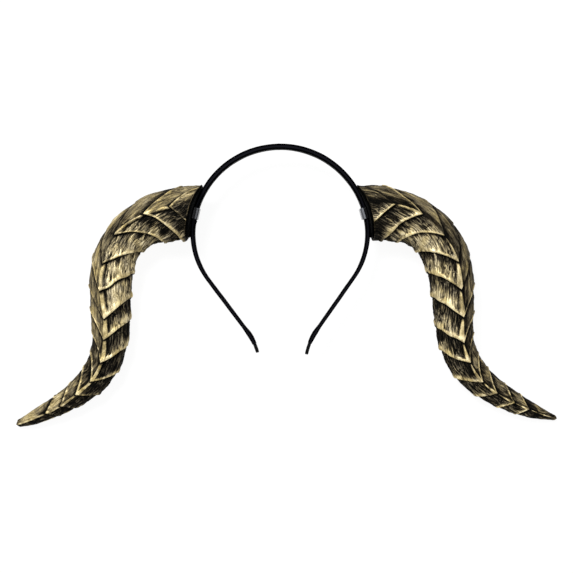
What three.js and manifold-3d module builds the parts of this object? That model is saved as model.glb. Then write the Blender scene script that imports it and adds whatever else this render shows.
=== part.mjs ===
// Devil horns headband: a slim ribbon-wrapped hair band that carries two hollow moulded horns.
// It lies on the backs of its horns. X runs across the head, Y up to the crown, Z from back to face side.
// Millimetres and degrees.
import * as THREE from "three";
import { mergeVertices } from "three/addons/utils/BufferGeometryUtils.js";
import Module from "manifold-3d";

// Clearance kept between neighbouring pieces
const GAP = 0.3;

// Hair band: sizes of its section, and the length of bare core past the ribbon
const BAND = { width: 8, edgeRound: 0.6, tipLength: 7, tipThick: 2, tipWidth: 6 };

// Centreline of half the band, from the crown down to one end
const BAND_RUNS = [
  { name: "crown", radius: 63.1, turn: 84, steps: 17 },
  { name: "side", radius: 56, turn: 42, steps: 8 },
  { name: "arm", length: 46.5, steps: 5 },
  { name: "flare", radius: -45, turn: -22, steps: 8 },
];

// Thickness of the wrapped band, by distance from the crown; the last rows are the ribbon's folded end
const BAND_THICKNESS = [
  { at: 0, thick: 3.5 },
  { at: 60, thick: 3.5 },
  { at: 95, thick: 2.8 },
  { at: 130, thick: 2.3 },
  { at: 177, thick: 2.3 },
  { at: 182, thick: 3.1 },
  { at: 200, thick: 3.1 },
];

// Where each horn sits: angle of its seat above the band's widest line, its own lean off that seat,
// and how far along its centreline it ends, as the left tip is blunter
const SEATS = [
  { side: "right", mirror: 1, angle: 12.9, lean: 1.6, length: 229 },
  { side: "left", mirror: -1, angle: 14.7, lean: -0.6, length: 226 },
];

// Base of a horn: its plane's distance from the band's centre, how far it faces forward,
// and the length over which the horn settles from it to lie flat
const BASE = { distance: 66.3, pitch: 7, settle: 30 };

// Horn sections by distance along its centreline: turn down from the base's axis, size over the scale rims,
// angle of the keel from the outer edge towards the face, and how far the keel stands up
const HORN_SECTIONS = [
  { at: 0, turn: 17, width: 39.5, depth: 36, keel: 68, ridge: 0.02 },
  { at: 22, turn: 29, width: 37.6, depth: 34.4, keel: 66, ridge: 0.07 },
  { at: 38, turn: 46, width: 35.2, depth: 32.4, keel: 67, ridge: 0.08 },
  { at: 54, turn: 67, width: 34.2, depth: 31.2, keel: 67, ridge: 0.09 },
  { at: 70, turn: 86, width: 34.2, depth: 30.8, keel: 65, ridge: 0.09 },
  { at: 86, turn: 98, width: 33.2, depth: 29.8, keel: 65, ridge: 0.09 },
  { at: 104, turn: 102.5, width: 30.8, depth: 27.8, keel: 68, ridge: 0.09 },
  { at: 120, turn: 101, width: 28.6, depth: 25.8, keel: 70, ridge: 0.09 },
  { at: 135, turn: 89, width: 26.2, depth: 23.8, keel: 72, ridge: 0.09 },
  { at: 152, turn: 70, width: 24.4, depth: 22, keel: 80, ridge: 0.09 },
  { at: 168, turn: 55, width: 21.8, depth: 19.6, keel: 88, ridge: 0.09 },
  { at: 192, turn: 42, width: 17, depth: 15.2, keel: 91, ridge: 0.08 },
  { at: 210, turn: 36, width: 12.4, depth: 11.2, keel: 90, ridge: 0.07 },
  { at: 229, turn: 31, width: 4, depth: 4, keel: 90, ridge: 0.02 },
];

// Where the rim of each overlapping scale crosses the keel, along the centreline
const SCALE_RIMS = [
  { right: 18, left: 13 },
  { right: 36, left: 30.5 },
  { right: 53.5, left: 52 },
  { right: 73, left: 73.5 },
  { right: 92, left: 92 },
  { right: 111, left: 112 },
  { right: 131.5, left: 127.5 },
  { right: 148, left: 145 },
  { right: 165, left: 162 },
  { right: 180, left: 176.5 },
  { right: 194.5, left: 189 },
  { right: 206, left: 201 },
];

// A scale from its root under the rim before it to its own rim, as parts of its length and of the step
const SCALE_PROFILE = [
  { part: 0.05, sink: 1 },
  { part: 0.5, sink: 0.55 },
  { part: 1, sink: 0 },
];

// The step is a part of the horn's width; a rim runs back from the keel to the two edges by these parts of it
const SCALE = { step: 0.045, outerReach: 0.6, innerReach: 0.5, fadeIn: 34, keelSpread: 20 };

// Points around a section: from the outer edge to the keel, and from the keel to the inner edge
const RING = { outerSteps: 4, innerSteps: 8 };

// Hollow of a horn: wall under the scale steps, where it ends, and its sections
const HOLLOW = { wall: 2.2, length: 182, sections: 17 };

// Blunt end of a horn past its last section
const HORN_TIP = 1.6;

// Plate in the horn's base
const PLATE = { thick: 2.5, inset: 0.6, round: 0.4, segments: 20 };

// Saddle clip over the band, with its clearances beside and under the band
const CLIP = { length: 8, wall: 0.9, sideRoom: 0.6, bandRoom: 0.55, foot: 3.6, round: 0.2 };

// Fineness: step along a horn's centreline, distance under which points are one, and steps of rounded edges
const FINE = { walk: 1, merge: 0.001, edgeSteps: 2, noseSteps: 6 };

// Colour and shine of each kind of piece
const FINISHES = {
  ribbon: { color: "#101014", roughness: 0.55, metalness: 0 },
  core: { color: "#17171b", roughness: 0.35, metalness: 0 },
  horn: { color: "#a98f57", roughness: 0.45, metalness: 0.6 },
  plate: { color: "#0b0b0c", roughness: 0.8, metalness: 0 },
  clip: { color: "#8f9296", roughness: 0.25, metalness: 0 },
};

const radians = THREE.MathUtils.degToRad;

const wasm = await Module();
wasm.setup();

// Reads a table at any place, smoothly between its rows
function smoothTable(rows, columns) {
  const places = rows.map((row) => row.at);
  const values = rows.flatMap((row) => columns.map((name) => row[name]));
  const spline = new THREE.CubicInterpolant(places, values, columns.length);
  return (at) => {
    const found = spline.evaluate(at);
    return Object.fromEntries(columns.map((name, index) => [name, found[index]]));
  };
}

// Reads the band's thickness, straight between the rows
function bandThickness(at) {
  const next = BAND_THICKNESS.findIndex((row) => row.at > at);
  const [from, to] = [BAND_THICKNESS[next - 1], BAND_THICKNESS[next]];
  return THREE.MathUtils.mapLinear(at, from.at, to.at, from.thick, to.thick);
}

function runLength(run) {
  return run.length ?? run.radius * radians(run.turn);
}

const bandLength = BAND_RUNS.reduce((sum, run) => sum + runLength(run), 0);
const wrapEnd = bandLength - BAND.tipLength;

// Point of the band's centreline at a distance from the crown, with its outward normal
function bandPoint(at) {
  const point = new THREE.Vector2(0, BAND_RUNS[0].radius);
  let heading = 0;
  let left = at;
  for (const run of BAND_RUNS) {
    const length = Math.min(left, runLength(run));
    const turn = run.radius ? length / run.radius : 0;
    const chord = turn ? 2 * run.radius * Math.sin(turn / 2) : length;
    point.x += chord * Math.cos(heading - turn / 2);
    point.y += chord * Math.sin(heading - turn / 2);
    heading -= turn;
    left -= length;
  }
  return { point, normal: new THREE.Vector2(-Math.sin(heading), Math.cos(heading)) };
}

// Distances from the crown at which the band is drawn
function bandStations() {
  const stations = [0];
  let start = 0;
  for (const run of BAND_RUNS) {
    for (let step = 1; step <= run.steps; step++) {
      stations.push(start + (runLength(run) * step) / run.steps);
    }
    start += runLength(run);
  }
  return [...stations.filter((at) => at < wrapEnd - GAP), wrapEnd];
}

// Outline of the wrapped band from the front, grown all round by a clearance
function bandShape(grow) {
  const edge = (at, sign, mirror) => {
    const { point, normal } = bandPoint(at);
    const offset = sign * (bandThickness(at) / 2 + grow);
    return new THREE.Vector2(mirror * (point.x + normal.x * offset), point.y + normal.y * offset);
  };
  const stations = bandStations();
  const down = stations.slice(1);
  const outline = [
    ...down.toReversed().map((at) => edge(at, 1, -1)),
    ...stations.map((at) => edge(at, 1, 1)),
    ...down.toReversed().map((at) => edge(at, -1, 1)),
    ...stations.map((at) => edge(at, -1, -1)),
  ];
  return new THREE.Shape(outline);
}

// Slab of an outline, centred on its own thickness, with rounded edges
function roundedSlab(shape, thick, round, curveSegments = 1) {
  const options = {
    depth: thick - 2 * round,
    curveSegments,
    bevelEnabled: round > 0,
    bevelSegments: FINE.edgeSteps,
    bevelThickness: round,
    bevelSize: round,
    bevelOffset: -round,
  };
  return new THREE.ExtrudeGeometry(shape, options).translate(0, 0, round - thick / 2);
}

// Bare end of the band's core: a strip along the flare with a round nose
function tipGeometry() {
  const half = BAND.tipThick / 2;
  const noseAt = bandLength - half;
  const stations = [wrapEnd + GAP, (wrapEnd + GAP + noseAt) / 2, noseAt];
  const edge = (at, sign) => {
    const { point, normal } = bandPoint(at);
    return point.clone().addScaledVector(normal, sign * half);
  };
  const nose = bandPoint(noseAt);
  const start = nose.normal.angle();
  const shape = new THREE.Shape();
  shape.setFromPoints(stations.map((at) => edge(at, 1)));
  shape.absarc(nose.point.x, nose.point.y, half, start, start - Math.PI, true);
  stations.toReversed().forEach((at) => shape.lineTo(edge(at, -1).x, edge(at, -1).y));
  return roundedSlab(shape, BAND.tipWidth, BAND.edgeRound, FINE.noseSteps);
}

// Horn: its sections, and its centreline walked from the base in short steps
const hornSection = smoothTable(HORN_SECTIONS, ["turn", "width", "depth", "keel", "ridge"]);
const hornWalk = [new THREE.Vector2()];
for (let at = FINE.walk / 2; at < HORN_SECTIONS.at(-1).at + FINE.walk; at += FINE.walk) {
  const heading = radians(-hornSection(at).turn);
  const next = hornWalk.at(-1).clone();
  hornWalk.push(next.add(new THREE.Vector2(Math.cos(heading), Math.sin(heading)).multiplyScalar(FINE.walk)));
}

// Height of a section's centre over the surface that the horn lies on; the base settles up off it
function hornHeight(at) {
  const rise = Math.max(0, BASE.settle - at) ** 2 / (2 * BASE.settle);
  return hornSection(at).depth / 2 + rise * Math.tan(radians(BASE.pitch));
}
const bandHeight = hornHeight(0);

// Angles around a section, with points on the outer edge, both keels and the inner edge
function ringAngles(keel) {
  const front = [];
  for (let step = 0; step < RING.outerSteps; step++) {
    front.push({ angle: (keel * step) / RING.outerSteps, back: 1 - step / RING.outerSteps, outer: true });
  }
  for (let step = 0; step <= RING.innerSteps; step++) {
    const back = step / RING.innerSteps;
    front.push({ angle: keel + (180 - keel) * back, back, outer: false });
  }
  const rear = front.slice(1, -1).toReversed().map((spot) => ({ ...spot, angle: 360 - spot.angle }));
  return [...front, ...rear];
}

// One ring of points on the horn, sunk by a depth; swept rings run back from the keels in a V.
// Rings near the base lean into its plane, and the first ring lies flat in it.
function hornRing(at, sink, swept) {
  const ring = hornSection(at);
  const sweep = swept ? Math.min(1, at / SCALE.fadeIn) * ring.width : 0;
  const lean = Math.max(0, 1 - at / SCALE.fadeIn);
  const pitch = Math.tan(radians(BASE.pitch));
  const slant = Math.tan(radians(HORN_SECTIONS[0].turn));
  return ringAngles(ring.keel).map((spot) => {
    const angle = radians(spot.angle);
    const offKeel = Math.abs(Math.abs(spot.angle - 180) - (180 - ring.keel));
    const crest = 1 + ring.ridge * Math.exp(-offKeel / SCALE.keelSpread);
    const across = (ring.width / 2 - sink) * Math.cos(angle) * crest;
    const above = (ring.depth / 2 - sink) * Math.sin(angle) * crest;
    const reach = spot.outer ? SCALE.outerReach : SCALE.innerReach;
    const place = at - sweep * reach * spot.back + lean * (pitch * above - slant * across);
    const local = hornSection(place);
    const step = Math.max(0, Math.floor(place / FINE.walk));
    const heading = radians(-local.turn);
    const forward = new THREE.Vector2(Math.cos(heading), Math.sin(heading));
    const normal = new THREE.Vector2(-forward.y, forward.x);
    const centre = hornWalk[step].clone().addScaledVector(forward, place - step * FINE.walk);
    const flat = centre.addScaledVector(normal, (local.width / 2 - sink) * Math.cos(angle) * crest);
    const high = (local.depth / 2 - sink) * Math.sin(angle) * crest + hornHeight(place) - bandHeight;
    return new THREE.Vector3(at > 0 ? flat.x : pitch * high, flat.y, high);
  });
}

// Skin over rings of equal count, closed by a point at each end
function ringSkin(rings, firstPoint, lastPoint) {
  const count = rings[0].length;
  const points = [firstPoint, ...rings.flat(), lastPoint];
  const faces = [];
  for (let index = 0; index < count; index++) {
    const next = (index + 1) % count;
    faces.push(0, 1 + next, 1 + index);
    for (let row = 0; row + 1 < rings.length; row++) {
      const [here, after] = [1 + row * count, 1 + (row + 1) * count];
      faces.push(here + index, here + next, after + next, here + index, after + next, after + index);
    }
    const last = 1 + (rings.length - 1) * count;
    faces.push(last + index, last + next, points.length - 1);
  }
  const geometry = new THREE.BufferGeometry().setFromPoints(points);
  geometry.setIndex(faces);
  return geometry.toNonIndexed();
}

// Point ahead of a ring's middle, at the end of a horn's skin
function endPoint(at, ahead) {
  const heading = radians(-hornSection(at).turn);
  const middle = hornRing(at, 0, false).reduce((sum, point) => sum.add(point), new THREE.Vector3());
  middle.divideScalar(2 * (RING.outerSteps + RING.innerSteps));
  return middle.add(new THREE.Vector3(Math.cos(heading), Math.sin(heading), 0).multiplyScalar(ahead));
}

// Hollow horn: from the blind end of the hollow out to the base, then over the scales to the tip
function hornGeometry(seat) {
  const inner = [];
  for (let index = HOLLOW.sections; index >= 0; index--) {
    const at = (HOLLOW.length * index) / HOLLOW.sections;
    inner.push(hornRing(at, HOLLOW.wall + SCALE.step * hornSection(at).width, false));
  }
  const outer = [hornRing(0, 0, false)];
  const rims = [0, ...SCALE_RIMS.map((row) => row[seat.side]), seat.length];
  for (let index = 1; index < rims.length; index++) {
    const [root, rim] = [rims[index - 1], rims[index]];
    const smooth = index === 1;
    for (const { part, sink } of SCALE_PROFILE.slice(smooth ? 1 : 0)) {
      const at = THREE.MathUtils.lerp(root, rim, part);
      outer.push(hornRing(at, smooth ? 0 : sink * SCALE.step * hornSection(at).width, true));
    }
  }
  const blindEnd = endPoint(HOLLOW.length, HOLLOW.wall);
  return ringSkin([...inner, ...outer], blindEnd, endPoint(seat.length, HORN_TIP));
}

function toSolid(geometry) {
  const bare = new THREE.BufferGeometry().setAttribute("position", geometry.getAttribute("position"));
  if (geometry.index) {
    bare.setIndex(geometry.index);
  }
  const merged = mergeVertices(bare, FINE.merge);
  const vertProperties = new Float32Array(merged.getAttribute("position").array);
  const triVerts = new Uint32Array(merged.index.array);
  return new wasm.Manifold(new wasm.Mesh({ numProp: 3, vertProperties, triVerts }));
}

function fromSolid(solid) {
  const { vertProperties, triVerts } = solid.getMesh();
  const geometry = new THREE.BufferGeometry();
  geometry.setAttribute("position", new THREE.BufferAttribute(vertProperties, 3));
  geometry.setIndex(new THREE.BufferAttribute(triVerts, 1));
  return geometry;
}

// Place of a seat on the right half of the band; its X axis is the horn's base axis
function seatMatrix(seat) {
  const angle = radians(seat.angle);
  const place = new THREE.Vector3(Math.cos(angle), Math.sin(angle), 0).multiplyScalar(BASE.distance);
  const lean = new THREE.Euler(0, 0, angle + radians(seat.lean));
  return new THREE.Matrix4().makeRotationFromEuler(lean).setPosition(place);
}

// Base plate: an oval slab behind the horn's base, channelled where the band lies in it
function plateGeometry(seat) {
  const base = HORN_SECTIONS[0];
  const oval = new THREE.Shape();
  oval.absellipse(0, 0, base.depth / 2 - PLATE.inset, base.width / 2 - PLATE.inset, 0, 2 * Math.PI);
  const slab = roundedSlab(oval, PLATE.thick, PLATE.round, PLATE.segments);
  slab.rotateY(Math.PI / 2).translate(-GAP - PLATE.thick / 2, 0, 0);
  slab.rotateY(radians(BASE.pitch)).applyMatrix4(seatMatrix(seat));
  const channel = roundedSlab(bandShape(GAP), BAND.width + 2 * GAP, 0);
  return fromSolid(toSolid(slab).subtract(toSolid(channel)));
}

// Saddle clip: a strap round the band's inner face, with a foot on the plate at the front and the back
function clipGeometry(seat) {
  const seatAt = radians(90 - seat.angle) * BAND_RUNS[0].radius;
  const bandInner = BASE.distance - BAND_RUNS[0].radius + bandThickness(seatAt) / 2;
  const plateFace = (z) => z * Math.tan(radians(BASE.pitch)) - 2 * GAP - PLATE.thick;
  const bridge = -bandInner - CLIP.bandRoom;
  const legInner = BAND.width / 2 + CLIP.sideRoom;
  const legOuter = legInner + CLIP.wall;
  const footEnd = legOuter + CLIP.foot;
  const foot = (sign) => [
    new THREE.Vector2(plateFace(sign * legInner), sign * legInner),
    new THREE.Vector2(plateFace(sign * footEnd), sign * footEnd),
    new THREE.Vector2(plateFace(sign * footEnd) - CLIP.wall, sign * footEnd),
    new THREE.Vector2(plateFace(sign * legOuter) - CLIP.wall, sign * legOuter),
    new THREE.Vector2(bridge - CLIP.wall, sign * legOuter),
  ];
  const inside = [new THREE.Vector2(bridge, -legInner), new THREE.Vector2(bridge, legInner)];
  const profile = new THREE.Shape([...foot(1), ...foot(-1).toReversed(), ...inside]);
  const strap = roundedSlab(profile, CLIP.length, CLIP.round);
  return strap.rotateX(Math.PI / 2).applyMatrix4(seatMatrix(seat));
}

function named(name, geometry, finish) {
  const mesh = new THREE.Mesh(geometry, new THREE.MeshStandardMaterial(FINISHES[finish]));
  mesh.name = name;
  return mesh;
}

const assembly = new THREE.Group();
assembly.add(named("headband", roundedSlab(bandShape(0), BAND.width, BAND.edgeRound), "ribbon"));
for (const seat of SEATS) {
  const half = new THREE.Group();
  half.scale.x = seat.mirror;
  const horn = named(`horn_${seat.side}`, hornGeometry(seat), "horn");
  horn.applyMatrix4(seatMatrix(seat));
  half.add(horn);
  half.add(named(`base_plate_${seat.side}`, plateGeometry(seat), "plate"));
  half.add(named(`clip_${seat.side}`, clipGeometry(seat), "clip"));
  half.add(named(`tip_${seat.side}`, tipGeometry(), "core"));
  assembly.add(half);
}

// The origin lies under the middle of the whole, on the surface that it rests on
const reach = new THREE.Box3().setFromObject(assembly, true);
const middle = reach.getCenter(new THREE.Vector3());
assembly.position.set(-middle.x, -middle.y, -reach.min.z);

const headpiece = new THREE.Group();
headpiece.add(assembly);
export default headpiece;
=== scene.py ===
# Devil horns headband: the looks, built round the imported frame, in metres
import math
import bpy
import numpy as np
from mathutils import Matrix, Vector


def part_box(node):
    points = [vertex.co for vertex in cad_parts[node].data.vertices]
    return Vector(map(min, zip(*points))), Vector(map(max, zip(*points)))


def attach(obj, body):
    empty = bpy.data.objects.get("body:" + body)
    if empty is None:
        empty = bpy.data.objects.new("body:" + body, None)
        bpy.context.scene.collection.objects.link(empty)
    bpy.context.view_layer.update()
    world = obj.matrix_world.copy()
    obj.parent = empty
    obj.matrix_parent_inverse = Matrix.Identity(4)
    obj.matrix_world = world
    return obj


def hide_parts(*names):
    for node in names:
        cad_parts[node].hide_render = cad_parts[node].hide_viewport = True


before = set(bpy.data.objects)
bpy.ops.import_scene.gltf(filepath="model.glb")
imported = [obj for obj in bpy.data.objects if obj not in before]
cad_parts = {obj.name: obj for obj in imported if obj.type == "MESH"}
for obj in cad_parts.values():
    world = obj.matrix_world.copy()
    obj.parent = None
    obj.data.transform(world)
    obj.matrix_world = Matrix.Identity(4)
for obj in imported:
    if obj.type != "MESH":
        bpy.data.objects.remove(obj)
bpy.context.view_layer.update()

mm = 0.001


# Small tools

def linear(hexColour):  # sRGB hex to the linear colour that shaders take
    parts = [int(hexColour[i:i + 2], 16) / 255 for i in (1, 3, 5)]
    return [p / 12.92 if p <= 0.04045 else ((p + 0.055) / 1.055) ** 2.4 for p in parts] + [1]


def ramp(low, high, x):  # 0 below low, 1 above high, smooth between
    t = np.clip((x - low) / (high - low), 0, 1)
    return t * t * (3 - 2 * t)


def hill(x, middle, spread):
    return np.exp(-((x - middle) / spread) ** 2)


def mix(a, b, share):
    return a + (b - a) * share


def smoothTable(places, values):  # reads a column at any place, smoothly between its rows
    places, values = np.array(places, float), np.array(values, float)
    slopes = np.diff(values) / np.diff(places)
    tangents = np.concatenate([slopes[:1], (slopes[1:] + slopes[:-1]) / 2, slopes[-1:]])

    def read(x):
        x = np.clip(x, places[0], places[-1])
        i = np.clip(np.searchsorted(places, x, "right") - 1, 0, len(slopes) - 1)
        gap = places[i + 1] - places[i]
        t = (x - places[i]) / gap
        rise = values[i + 1] - values[i]
        bend = tangents[i] * gap * (1 - t) ** 2 * t - tangents[i + 1] * gap * t ** 2 * (1 - t)
        return values[i] + rise * t * t * (3 - 2 * t) + bend

    return read


def lumps(points, seed):  # smooth random values from 0 to 1, one lump to each unit of the points
    size = 4096  # a power of two, so that the low bits pick an entry
    table = np.random.default_rng(seed).random(size)
    cell = np.floor(points).astype(np.int64)
    t = points - cell
    t = t ** 3 * (t * (6 * t - 15) + 10)
    total = 0
    for corner in np.ndindex(2, 2, 2):
        x, y, z = (cell[..., axis] + corner[axis] for axis in range(3))
        found = table[(x * 73856093 ^ y * 19349663 ^ z * 83492791) & (size - 1)]  # primes scatter the cells
        weight = np.prod(np.where(np.array(corner) == 1, t, 1 - t), axis=-1)
        total = total + found * weight
    return total


def deselect():
    bpy.ops.object.select_all(action="DESELECT")


def editing():
    bpy.ops.object.mode_set(mode="EDIT")
    bpy.ops.mesh.select_all(action="SELECT")


def normalsOut():
    editing()
    bpy.ops.mesh.normals_make_consistent(inside=False)
    bpy.ops.object.mode_set(mode="OBJECT")


def cutAcross(place, axis):  # edges where a plane at a place on an axis cuts the mesh
    editing()
    bpy.ops.mesh.bisect(plane_co=Vector(axis) * (place * mm), plane_no=axis)
    bpy.ops.object.mode_set(mode="OBJECT")


def roundEdges(piece, width, segments, sharpness):  # bevels the edges that are sharper than some degrees
    rounding = piece.modifiers.new("rounded edges", "BEVEL")
    rounding.width = width * mm
    rounding.segments = segments
    rounding.limit_method = "ANGLE"
    rounding.angle_limit = math.radians(sharpness)
    bpy.ops.object.modifier_apply(modifier=rounding.name)


def finishPiece(piece, name, material):
    piece.name = name
    piece.data.name = name
    piece.data.materials.clear()
    piece.data.materials.append(material)
    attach(piece, "root")


def setPoints(piece, points):
    piece.data.vertices.foreach_set("co", np.asarray(points, np.float32).ravel())
    piece.data.update()


def pointsMm(piece):
    points = np.empty(3 * len(piece.data.vertices), np.float32)
    piece.data.vertices.foreach_get("co", points)
    return points.reshape(-1, 3) / mm


def addOutline(points):  # a new piece, a closed line through points in mm, left in edit mode
    deselect()
    bpy.ops.mesh.primitive_circle_add(vertices=len(points), radius=1, fill_type="NOTHING")
    piece = bpy.context.object
    setPoints(piece, points * mm)
    editing()
    return piece


def setAttribute(piece, name, kind, values):
    attribute = piece.data.attributes.new(name, kind, "POINT")
    field = "vector" if kind == "FLOAT_VECTOR" else "value"
    attribute.data.foreach_set(field, np.asarray(values, np.float32).ravel())


def newMaterial(name):
    material = bpy.data.materials.new(name)
    material.use_nodes = True
    return material, material.node_tree.nodes["Principled BSDF"]


def addNode(material, kind, settings=None, links=None):  # a node, its settings, and what feeds or takes it
    tree = material.node_tree
    node = tree.nodes.new(kind)
    for key, value in (settings or {}).items():
        if key == "stops":
            while len(node.color_ramp.elements) < len(value):
                node.color_ramp.elements.new(0.5)
            for element, (place, colour) in zip(node.color_ramp.elements, value):
                element.position = place
                element.color = linear(colour)
        elif isinstance(key, str) and hasattr(node, key):
            setattr(node, key, value)
        else:
            node.inputs[key].default_value = value
    for key, other in (links or {}).items():
        if isinstance(other, bpy.types.NodeSocket) and other.is_output:
            tree.links.new(other, node.inputs[key])
        else:
            tree.links.new(node.outputs[key], other)
    return node


# Band: runs of its centreline from the crown down one half, its section, and its thickness along the way
band = {
    "crownRadius": 63.1, "crownTurn": 84, "crownSteps": 70,
    "sideRadius": 56, "sideTurn": 42, "sideSteps": 34,
    "armLength": 46.5, "armSteps": 30,
    "flareRadius": 45, "flareTurn": 22, "flareSteps": 12, "bareTip": 6.72,
    "lineStep": 0.2, "linePastEnd": 4,
    "width": 8.0, "edgeRound": 0.9, "seamHalf": 0.22, "seamDeep": 0.22,
    "coreThick": 3.5, "thickAt": (0, 55, 95, 130, 176, 182, 186, 191),
    "thick": (4.1, 4.1, 3.4, 2.9, 2.8, 3.6, 3.5, 2.7), "waves": 0.12,
    "nubAt": -89.0, "nubHigh": 1.0, "nubSpread": 1.0,  # glue that was pressed out beside one clip
}
bandLow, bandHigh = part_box("headband")
bandMiddle = Vector((
    (bandLow.x + bandHigh.x) / 2,
    bandHigh.y - (band["crownRadius"] + band["coreThick"] / 2) * mm,
    (bandLow.z + bandHigh.z) / 2,
))


# Materials

def antiqueGold(name, darkening):
    # Soft vinyl, moulded with bark-like grain, sprayed black and dry-brushed with metallic gold:
    # pale gold on what stands up, brown where the brush only grazed, black in the hollows
    # The paint attribute also carries painted shade under the rims and on the outer facets, and a painted
    # reflection along the left tip's lower edge
    look = {"speckMm": 0.8, "specks": 0.14, "strokeMm": 0.7, "strokeLengthMm": 7, "strokes": 0.5,
            "deepMm": 0.3, "patinaMm": 7, "patina": 0.6, "rimWarm": 0.72, "fieldWarm": 0.6}
    material, shader = newMaterial(name)
    paint = addNode(material, "ShaderNodeAttribute", {"attribute_name": "paint"})
    carved = addNode(material, "ShaderNodeAttribute", {"attribute_name": "carved"})
    grain = addNode(material, "ShaderNodeAttribute", {"attribute_name": "grain"})
    stretched = addNode(material, "ShaderNodeMapping", {
        "Scale": (1 / look["strokeMm"], 1 / look["strokeMm"], 1 / look["strokeLengthMm"])},
        {"Vector": grain.outputs["Vector"]})
    stroke = addNode(material, "ShaderNodeTexNoise", {"Scale": 1, "Detail": 2, "Roughness": 0.5},
                     {"Vector": stretched.outputs["Vector"]})
    speck = addNode(material, "ShaderNodeTexNoise", {"Scale": 1 / look["speckMm"], "Detail": 2},
                    {"Vector": grain.outputs["Vector"]})
    worn = addNode(material, "ShaderNodeMapRange",
                   {"From Min": 0.36, "From Max": 0.64,
                    "To Min": -look["strokes"] / 2, "To Max": look["strokes"] / 2},
                   {"Value": stroke.outputs["Fac"]})
    flecked = addNode(material, "ShaderNodeMapRange",
                      {"From Min": 0.3, "From Max": 0.7,
                       "To Min": -look["specks"] / 2 - darkening, "To Max": look["specks"] / 2 - darkening},
                      {"Value": speck.outputs["Fac"]})
    brushed = addNode(material, "ShaderNodeMath", {"operation": "ADD"},
                      {0: paint.outputs["Fac"], 1: flecked.outputs["Result"]})
    cover = addNode(material, "ShaderNodeMath", {"operation": "MULTIPLY_ADD", "use_clamp": True},
                    {0: worn.outputs["Result"], 1: carved.outputs["Fac"], 2: brushed.outputs["Value"]})
    gilt = addNode(material, "ShaderNodeValToRGB", {"stops": [
        (0.0, "#030302"), (0.2, "#211c13"), (0.4, "#5a513d"), (0.6, "#978862"), (0.8, "#d0be8f"),
        (1.0, "#f6e8ba")]},
        {"Fac": cover.outputs["Value"]})
    patina = addNode(material, "ShaderNodeTexNoise", {"Scale": 1 / look["patinaMm"], "Detail": 2},
                     {"Vector": grain.outputs["Vector"]})
    purity = addNode(material, "ShaderNodeMapRange",
                     {"From Min": 0.3, "From Max": 1.0,
                      "To Min": look["rimWarm"], "To Max": look["fieldWarm"]},
                     {"Value": carved.outputs["Fac"]})
    warmth = addNode(material, "ShaderNodeMath", {"operation": "MULTIPLY_ADD", 1: look["patina"]},
                     {0: patina.outputs["Fac"], 2: purity.outputs["Result"]})
    addNode(material, "ShaderNodeHueSaturation", None, {  # 4 is its input Color, named like its output
        4: gilt.outputs["Color"], "Saturation": warmth.outputs["Value"],
        "Color": shader.inputs["Base Color"]})
    addNode(material, "ShaderNodeMapRange", {"From Min": 0.3, "From Max": 0.9, "To Max": 0.5},
            {"Value": cover.outputs["Value"], "Result": shader.inputs["Metallic"]})
    addNode(material, "ShaderNodeMapRange", {"To Min": 0.7, "To Max": 0.4},
            {"Value": cover.outputs["Value"], "Result": shader.inputs["Roughness"]})
    relief = addNode(material, "ShaderNodeMath", {"operation": "MULTIPLY_ADD"},
                     {0: stroke.outputs["Fac"], 1: carved.outputs["Fac"], 2: speck.outputs["Fac"]})
    addNode(material, "ShaderNodeBump", {"Strength": 0.6, "Distance": look["deepMm"] * mm},
            {"Height": relief.outputs["Value"], "Normal": shader.inputs["Normal"]})
    shader.inputs["Specular IOR Level"].default_value = 0.04
    return material


def satinRibbon():
    # Black polyester satin: deep black, with painted sheen: a cool paler tone along the threads, which run
    # with the band, and along the seam
    look = {"threadMm": 0.35, "threadLengthMm": 6, "deepMm": 0.1}  # coarser than real, so that they show
    material, shader = newMaterial("black polyester satin")
    run = addNode(material, "ShaderNodeAttribute", {"attribute_name": "run"})
    seam = addNode(material, "ShaderNodeAttribute", {"attribute_name": "seam"})
    stretched = addNode(material, "ShaderNodeMapping", {
        "Scale": (1 / look["threadLengthMm"], 1 / look["threadMm"], 1 / look["threadMm"])},
        {"Vector": run.outputs["Vector"]})
    thread = addNode(material, "ShaderNodeTexNoise", {"Scale": 1, "Detail": 1},
                     {"Vector": stretched.outputs["Vector"]})
    # painted sheen: paler where the thread noise is high and on the seam line
    shade = addNode(material, "ShaderNodeMath", {"operation": "MULTIPLY_ADD", 1: 0.35},
                    {0: thread.outputs["Fac"], 2: seam.outputs["Fac"]})
    addNode(material, "ShaderNodeValToRGB", {"stops": [(0.0, "#000001"), (0.4, "#010102"), (1.0, "#121217")]},
            {"Fac": shade.outputs["Value"], "Color": shader.inputs["Base Color"]})
    addNode(material, "ShaderNodeMapRange", {"To Min": 0.5, "To Max": 0.36},
            {"Value": thread.outputs["Fac"], "Result": shader.inputs["Roughness"]})
    addNode(material, "ShaderNodeBump", {"Strength": 0.35, "Distance": look["deepMm"] * mm},
            {"Height": thread.outputs["Fac"], "Normal": shader.inputs["Normal"]})
    shader.inputs["Specular IOR Level"].default_value = 0.008
    return material


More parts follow.
